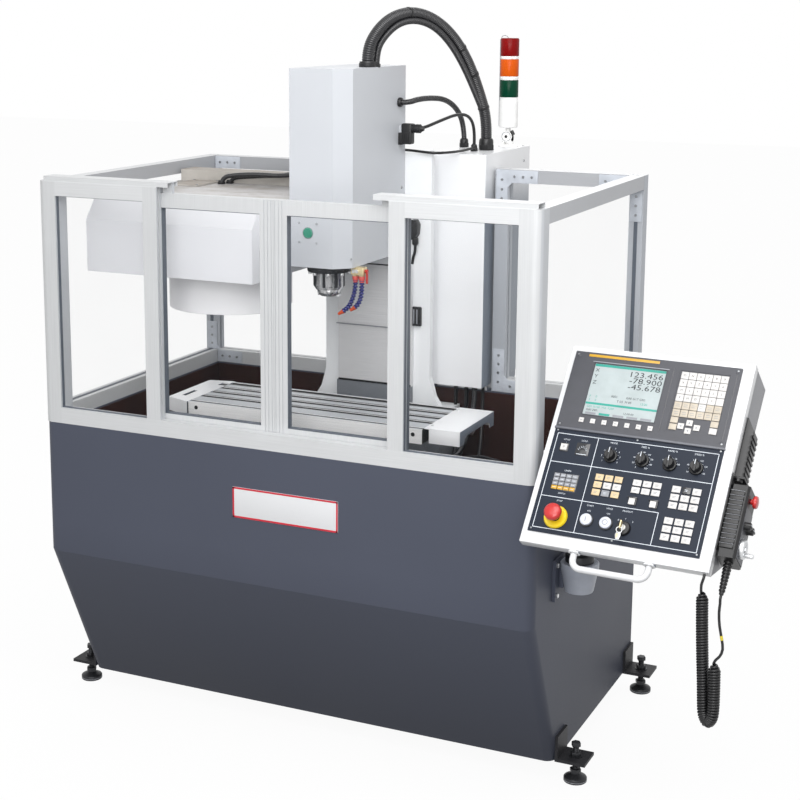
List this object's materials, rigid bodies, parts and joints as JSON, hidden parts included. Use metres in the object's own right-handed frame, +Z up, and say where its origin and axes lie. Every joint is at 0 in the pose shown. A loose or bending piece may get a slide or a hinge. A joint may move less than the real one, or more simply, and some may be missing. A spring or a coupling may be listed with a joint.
{
  "type": "cnc machining centre",
  "caption": "Small vertical machining centre with a glazed sliding-door enclosure on a dark coolant tank and a tilted control panel.",
  "frame": {"origin": "centre of the bounding box at floor level, without the curly lead", "axes": "+Z up, the front with the sliding doors faces -Y, +X along the front towards the control panel"},
  "size_m": [2.012, 1.3596, 1.9506],
  "materials": {
    "tank_paint": "fine textured charcoal powder coat",
    "tray_paint": "dark oily paint",
    "steel_black": "blackened steel",
    "frame_alu": "satin anodised",
    "clear_pane": "clear polycarbonate",
    "plate_steel": "zinc plated",
    "cast_paint": "painted casting",
    "cast_white": "painted casting, light grey",
    "table_steel": "ground",
    "white_paint": "light grey enamel",
    "ground_steel": "ground",
    "cover_steel": "brushed stainless",
    "motor_alu": "cast",
    "nose_steel": "polished",
    "manifold_brass": "cast brass",
    "hose_blue": "acetal",
    "lever_red": "moulded",
    "cable_black": "black sheath",
    "cabinet_white": "white enamel",
    "plastic_black": "moulded",
    "lamp_white": "moulded",
    "lens_stack": "lens plastic",
    "unit_grey": "dark grey moulding",
    "plate_navy": "printed navy",
    "key_white": "moulded",
    "stop_red": "moulded",
    "button_white": "moulded"
  },
  "bodies": {
    "machine": {"tank_shell": "tank_paint", "chip_tray": "tray_paint", "levelling_feet": "steel_black", "frame_uprights": "frame_alu", "lower_rails": "frame_alu", "upper_rails": "frame_alu", "door_guides": "frame_alu", "fixed_panes": "clear_pane", "corner_plates": "plate_steel", "machine_bed": "cast_paint", "column": "cast_white", "z_guides": "ground_steel", "way_cover_lower": "cover_steel", "changer_frame": "cast_paint", "changer_housing": "white_paint", "machine_cables": "cable_black", "cabinet_body": "cabinet_white", "conduit_fittings": "plastic_black", "head_conduits": "plastic_black", "lamp_base": "lamp_white", "panel_bracket": "tank_paint"},
    "door_left": {"door_left_frame": "frame_alu", "door_left_pane": "clear_pane"},
    "door_right": {"door_right_frame": "frame_alu", "door_right_pane": "clear_pane"},
    "cross_slide": {"saddle": "cast_white"},
    "work_table": {"table": "table_steel", "table_cover_left": "white_paint", "table_cover_right": "white_paint"},
    "head": {"head_cover": "white_paint", "head_casting": "cast_white", "spindle_motor": "motor_alu", "spindle_nose": "nose_steel", "way_cover_upper": "cover_steel", "coolant_manifold": "manifold_brass", "coolant_hoses": "hose_blue"},
    "spindle_shaft": {"spindle": "ground_steel"},
    "coolant_valve": {"valve_lever": "lever_red"},
    "changer_carriage": {"tool_carriage": "motor_alu", "drum_guard": "white_paint"},
    "drum": {"tool_drum": "motor_alu"},
    "control_panel": {"panel_box": "cabinet_white", "display_unit": "unit_grey", "operator_plate": "plate_navy", "panel_keys": "key_white", "panel_handle": "cabinet_white", "pendant_body": "plastic_black", "pendant_cord": "cable_black"},
    "mode_selector": {"mode_knob": "plastic_black"},
    "feed_selector": {"feed_knob": "plastic_black"},
    "rapid_selector": {"rapid_knob": "plastic_black"},
    "speed_selector": {"speed_knob": "plastic_black"},
    "panel_key": {"key_switch": "ground_steel"},
    "panel_stop": {"emergency_stop": "stop_red"},
    "panel_start": {"start_button": "button_white"},
    "panel_hold": {"stop_button": "button_white"},
    "unit_wheel": {"pendant_handwheel": "nose_steel"},
    "unit_stop": {"pendant_stop": "stop_red"},
    "signal_lamp": {"lamp_stack": "lens_stack"},
    "rear_door": {"cabinet_door": "cabinet_white"}
  },
  "joints": [
    {"name": "left_door_slide", "type": "slide", "parent": "machine", "child": "door_left", "axis": [1, 0, 0], "range_m": [-0.27, 0]},
    {"name": "right_door_slide", "type": "slide", "parent": "machine", "child": "door_right", "axis": [1, 0, 0], "range_m": [0, 0.27]},
    {"name": "y_axis", "type": "slide", "parent": "machine", "child": "cross_slide", "axis": [0, 1, 0], "range_m": [-0.17, 0.14]},
    {"name": "x_axis", "type": "slide", "parent": "cross_slide", "child": "work_table", "axis": [1, 0, 0], "range_m": [-0.165, 0.235]},
    {"name": "z_axis", "type": "slide", "parent": "machine", "child": "head", "axis": [0, 0, 1], "range_m": [-0.228, 0.06], "deforming": ["head_conduits"]},
    {"name": "spindle_turn", "type": "hinge", "parent": "head", "child": "spindle_shaft", "pos_m": [-0.26399, -0.10118, 1.23], "axis": [0, 0, 1], "continuous": true},
    {"name": "valve_turn", "type": "hinge", "parent": "head", "child": "coolant_valve", "pos_m": [-0.15099, -0.10118, 1.253], "axis": [1, 0, 0], "range_deg": [0, 90]},
    {"name": "carriage_slide", "type": "slide", "parent": "machine", "child": "changer_carriage", "axis": [1, 0, 0], "range_m": [0, 0.156]},
    {"name": "drum_turn", "type": "hinge", "parent": "changer_carriage", "child": "drum", "pos_m": [-0.57099, -0.10118, 1.2], "axis": [0, 0, 1], "continuous": true},
    {"name": "panel_swing", "type": "hinge", "parent": "machine", "child": "control_panel", "pos_m": [0.52601, -0.30118, 0.6], "axis": [0, 0, 1], "range_deg": [-3, 20]},
    {"name": "mode_turn", "type": "hinge", "parent": "control_panel", "child": "mode_selector", "pos_m": [0.65466, -0.51372, 0.94744], "axis": [-0.043, -0.7831, 0.6205], "range_deg": [-120, 120]},
    {"name": "feed_turn", "type": "hinge", "parent": "control_panel", "child": "feed_selector", "pos_m": [0.72954, -0.51783, 0.94744], "axis": [-0.043, -0.7831, 0.6205], "range_deg": [-140, 140]},
    {"name": "rapid_turn", "type": "hinge", "parent": "control_panel", "child": "rapid_selector", "pos_m": [0.79345, -0.52133, 0.94744], "axis": [-0.043, -0.7831, 0.6205], "range_deg": [-60, 60]},
    {"name": "speed_turn", "type": "hinge", "parent": "control_panel", "child": "speed_selector", "pos_m": [0.85436, -0.52467, 0.94744], "axis": [-0.043, -0.7831, 0.6205], "range_deg": [-120, 120]},
    {"name": "key_turn", "type": "hinge", "parent": "control_panel", "child": "panel_key", "pos_m": [0.71988, -0.62107, 0.81647], "axis": [-0.043, -0.7831, 0.6205], "range_deg": [-45, 45]},
    {"name": "stop_press", "type": "slide", "parent": "control_panel", "child": "panel_stop", "axis": [-0.043, -0.7831, 0.6205], "range_m": [-0.005, 0]},
    {"name": "start_press", "type": "slide", "parent": "control_panel", "child": "panel_start", "axis": [-0.043, -0.7831, 0.6205], "range_m": [-0.003, 0], "stiffness_N_per_m": 800, "springref_m": 0.0005},
    {"name": "hold_press", "type": "slide", "parent": "control_panel", "child": "panel_hold", "axis": [-0.043, -0.7831, 0.6205], "range_m": [-0.003, 0], "stiffness_N_per_m": 800, "springref_m": 0.0005},
    {"name": "wheel_turn", "type": "hinge", "parent": "control_panel", "child": "unit_wheel", "pos_m": [0.97793, -0.59069, 0.79532], "axis": [0.9985, -0.0548, 0], "continuous": true},
    {"name": "unit_stop_press", "type": "slide", "parent": "control_panel", "child": "unit_stop", "axis": [0.9985, -0.0548, 0], "range_m": [-0.004, 0]},
    {"name": "lamp_fold", "type": "hinge", "parent": "machine", "child": "signal_lamp", "pos_m": [-0.01699, 0.60882, 1.5715], "axis": [-1, 0, 0], "range_deg": [0, 90]},
    {"name": "rear_door_swing", "type": "hinge", "parent": "machine", "child": "rear_door", "pos_m": [-0.14399, 0.65882, 1.2], "axis": [0, 0, 1], "range_deg": [0, 110]}
  ]
}
